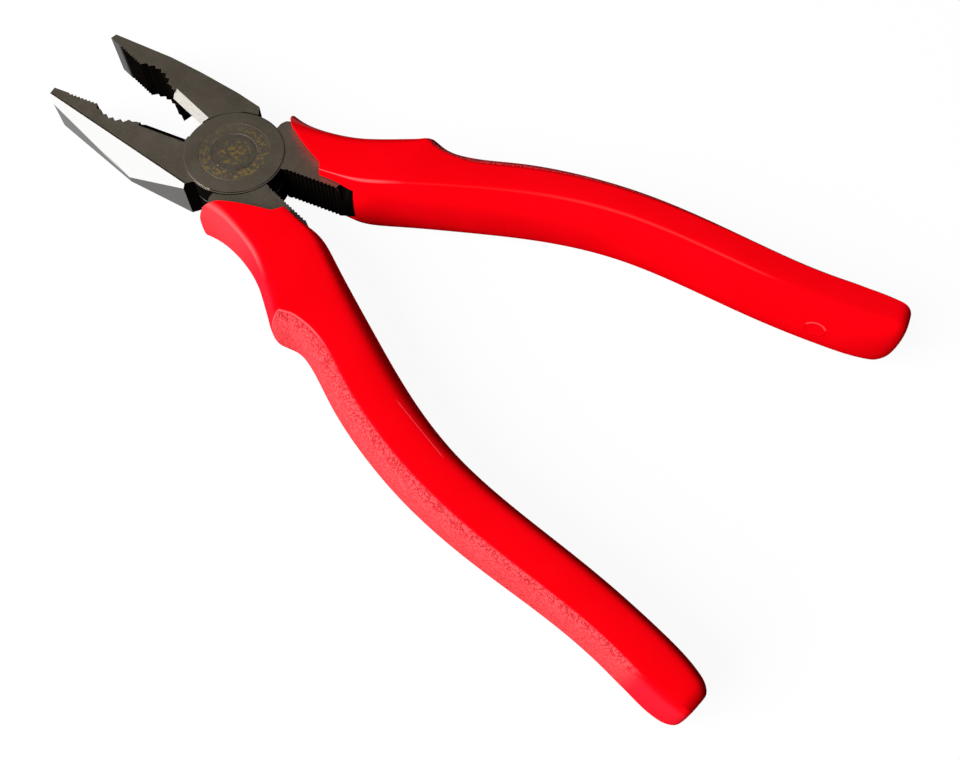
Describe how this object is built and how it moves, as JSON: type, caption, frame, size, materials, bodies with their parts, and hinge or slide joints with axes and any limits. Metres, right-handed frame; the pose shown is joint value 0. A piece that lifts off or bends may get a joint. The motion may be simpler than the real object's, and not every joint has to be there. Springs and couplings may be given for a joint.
{
  "type": "combination pliers",
  "caption": "Combination pliers with flat toothed jaws, a pipe grip, a side cutter, a crimping nest and moulded handle sleeves, turning on a flush rivet.",
  "frame": {"origin": "on the pivot axis, at the rivet's rear end face, which is flush with the rear face of the head", "axes": "+X along the line that halves the angle between the jaws, towards the jaw tips; +Z along the pivot axis, out of the front face of the head; +Y across the jaws"},
  "size_m": [0.2001, 0.1072, 0.0171],
  "materials": {
    "satin_steel": "dark satin forging, ground bright on the jaw bevels",
    "rivet_steel": "satin, ground flush with the head",
    "red_vinyl": "smooth satin, with a fine grain on the outer side"
  },
  "bodies": {
    "rear_handle": {"rear_half": "satin_steel", "pivot_rivet": "rivet_steel", "rear_grip": "red_vinyl"},
    "front_handle": {"front_half": "satin_steel", "front_grip": "red_vinyl"}
  },
  "joints": [
    {"name": "jaw_pivot", "type": "hinge", "parent": "rear_handle", "child": "front_handle", "pos_m": [0, 0, 0.00575], "axis": [0, 0, 1], "range_deg": [-22.8, 24]}
  ]
}
